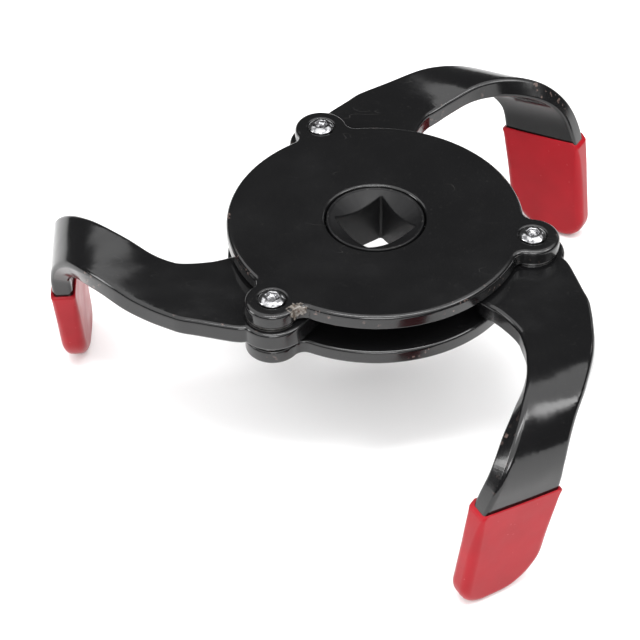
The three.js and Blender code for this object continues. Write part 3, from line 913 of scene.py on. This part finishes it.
def arm(number):
    """The arm's flat metal with its bore, cut and bent."""
    half = ARM_THICK / 2
    outline, radii = arm_outline()
    bore = BUSH_RADIUS + RUNNING_GAP
    hole = ((PIVOT_RADIUS, 0), hole_profile(bore, half, -half, ARM_BORE_BREAK, ARM_BORE_BREAK))
    bm = slab(outline, half, -half, radii, radii, [hole])
    cut_metal(bm, FOLD_NORMAL, *CUTS_ACROSS)
    cut_metal(bm, FOLD_ALONG, *CUTS_ALONG)
    fold(bm)
    name = f"arm_{number + 1}"
    return new_piece(f"{name}_skin", bm, ARM_PAINT, name, name, number * SECTOR)


def sleeve(number):
    """The dipped sleeve's skin, with the groove in its mouth, bent as the arm is."""
    grow = SLEEVE_GAP + SLEEVE_WALL - SLEEVE_INSIDE
    half = ARM_THICK / 2 + grow
    flat = tip_outline(SLEEVE_FROM_LEADING, SLEEVE_FROM_TRAILING, grow, SLEEVE_GAP + SLEEVE_TIP_WALL)
    mouth_start, mouth_end = flat[0], flat[-1]
    lip = between(mouth_end, mouth_start, LIP_COUNT)
    sides = flat[2:-1]
    from_mouth = [out - SLEEVE_FROM_LEADING for out, _ in sides]
    side_radii = np.interp(from_mouth, ROUNDS_CHANGE, (MOUTH_ROUND, TIP_ROUND))
    radii = ease_radii([*side_radii, *[LIP_ROUND] * len(lip)], SLEEVE_EASE_PASSES)
    bm = slab([from_fold(pair) for pair in sides + lip], half, -half, radii, radii)
    for vertex in bm.verts:
        out, along = vertex.co.xy @ Vector(FOLD_NORMAL), vertex.co.xy @ Vector(FOLD_ALONG)
        mouth = np.interp(along, [mouth_start[1], mouth_end[1]], [mouth_start[0], mouth_end[0]])
        inside_lip = abs(vertex.co.z) < half - GROOVE_INSET
        if abs(out - mouth) < ON_MOUTH and inside_lip:
            vertex.co.xy += Vector(FOLD_NORMAL) * GROOVE_DEPTH
    fold(bm)
    arm_name = f"arm_{number + 1}"
    node = f"jaw_sleeve_{number + 1}"
    return new_piece(f"{node}_skin", bm, RED_SLEEVE, arm_name, node, number * SECTOR)


# ---- pivot hardware --------------------------------------------------------------------------------------

SCREW_ANGLE_STEP = 5.0


def hex_radius(angle, across):
    """Distance from the middle of a hexagon to its wall."""
    off = (angle + math.pi / 6) % (math.pi / 3) - math.pi / 6
    return across / 2 / math.cos(math.pi / 6 - abs(off))


def pivot_screw(number):
    """A button head with a hex socket, and its shank down to the underside of the lower plate."""
    seat = FACE_GAP - HEAD_SEAT_DEPTH
    top = seat + HEAD_HEIGHT
    angles = np.radians(np.arange(0, 360, SCREW_ANGLE_STEP))
    socket = np.array([hex_radius(a, HEX_ACROSS) for a in angles])
    rows = [
        (SHANK_END_RADIUS, HUB_BOTTOM, 0.0),
        (SCREW_RADIUS - SCREW_END_CHAMFER, HUB_BOTTOM, 0.0),
        (SCREW_RADIUS, HUB_BOTTOM + SCREW_END_CHAMFER, 0.0),
        (SCREW_RADIUS, seat, 0.0),
        (HEAD_RADIUS - HEAD_FOOT_BREAK, seat, 0.0),
        (HEAD_RADIUS, seat + HEAD_FOOT_BREAK, 0.0),
        (HEAD_RADIUS, seat + HEAD_RIM, 0.0),
    ]
    rise = HEAD_HEIGHT - HEAD_RIM
    sphere = (HEAD_RADIUS**2 + rise**2) / (2 * rise)
    widest = math.asin(HEAD_RADIUS / sphere)
    for share in DOME_SHARES:
        a = widest * share
        crown = top - sphere * (1 - math.cos(a))
        rows.append((sphere * math.sin(a), crown, 0.0))
    for out, lift in SOCKET_LIP_OUTS_AND_RISES:
        rows.append((socket + out, crown + lift, 0.0))
    rows += [
        (socket, top - HEX_DEPTH, 0.0),
        (SOCKET_CENTRE_RADIUS, top - HEX_DEPTH - SOCKET_CENTRE_DROP, 0.0),
    ]
    bm, rings = polar_loft(angles, rows)
    bm.faces.new(rings[0])
    bm.faces.new(rings[-1])
    bmesh.ops.translate(bm, verts=bm.verts, vec=(PIVOT_RADIUS, 0, 0))
    node = f"pivot_screw_{number + 1}"
    return new_piece(f"{node}_skin", bm, CHROME, "housing", node, number * SECTOR)


# ---- the wrench ------------------------------------------------------------------------------------------

# The bushes and washers keep their CAD shapes and only get a finish.
plate("top_plate_skin", "top_plate", 0.0, TOP_PLATE_ROUNDS, True, PLATE_PAINT)
plate("bottom_plate_skin", "bottom_plate", GAP_BOTTOM, BOTTOM_PLATE_ROUNDS, False, BOTTOM_PAINT)
drive_hub()
for station in range(ARM_COUNT):
    arm(station)
    sleeve(station)
    pivot_screw(station)
    for kept_part in ("pivot_bush", "washer_upper", "washer_lower"):
        node = frame["nodes"][f"{kept_part}_{station + 1}"]
        node.data.materials.clear()
        node.data.materials.append(PLAIN_STEEL)

# ---- floor, lights and camera ----------------------------------------------------------------------------


def floor():
    """The plain floor that the jaws stand on."""
    bm = bmesh.new()
    bmesh.ops.create_grid(bm, x_segments=4, y_segments=4, size=FLOOR_SIZE / 2)
    mesh = bpy.data.meshes.new("floor")
    bm.to_mesh(mesh)
    bm.free()
    mesh.materials.append(FLOOR)
    piece = bpy.data.objects.new("floor", mesh)
    bpy.context.scene.collection.objects.link(piece)


def soft_light(name, place, aim, width, height, power):
    """A rectangular area light, in metres and watts."""
    data = bpy.data.lights.new(name, "AREA")
    data.shape = "RECTANGLE"
    data.size, data.size_y = width, height
    data.energy = power
    lamp = bpy.data.objects.new(name, data)
    lamp.location = place
    lamp.rotation_euler = (Vector(aim) - Vector(place)).to_track_quat("-Z", "Y").to_euler()
    bpy.context.scene.collection.objects.link(lamp)


def world(level):
    """An even grey sky."""
    sky = bpy.data.worlds.new("studio")
    sky.use_nodes = True
    background = sky.node_tree.nodes["Background"]
    background.inputs["Color"].default_value = (level, level, level, 1.0)
    bpy.context.scene.world = sky


def camera(place, aim, lens, roll):
    """The scene's camera, which looks at aim with its top turned by roll."""
    data = bpy.data.cameras.new("camera")
    data.lens = lens
    data.sensor_width = CAMERA_SENSOR_MM
    data.clip_start, data.clip_end = CAMERA_CLIP
    eye = bpy.data.objects.new("camera", data)
    toward = (Vector(aim) - Vector(place)).to_track_quat("-Z", "Y").to_matrix().to_4x4()
    eye.matrix_world = Matrix.Translation(place) @ toward @ Matrix.Rotation(roll, 4, "Z")
    bpy.context.scene.collection.objects.link(eye)
    bpy.context.scene.camera = eye


floor()
world(WORLD_LEVEL)
# Each light's name, place, aim, width, height and power.
soft_light("overhead", (0.0, -0.8, 1.5), (0.0, -0.8, 0.0), 4.0, 4.0, 98)
soft_light("right_box", (0.77, -0.06, 0.9), LIGHT_AIM, 0.42, 0.38, 3.2)
soft_light("back_right_box", (0.55, 1.0, 0.52), LIGHT_AIM, 0.3, 0.3, 0.4)
soft_light("front_box", (0.3, -1.3, 0.8), LIGHT_AIM, 0.6, 0.4, 7)
soft_light("top_strip", (0.12, -0.28, 1.35), LIGHT_AIM, 1.0, 0.2, 9)
soft_light("left_box", (-1.1, -0.3, 0.5), LIGHT_AIM, 0.4, 0.4, 5)
bpy.context.scene.view_settings.view_transform = "Standard"
camera(CAMERA_PLACE, CAMERA_AIM, CAMERA_LENS_MM, CAMERA_ROLL)
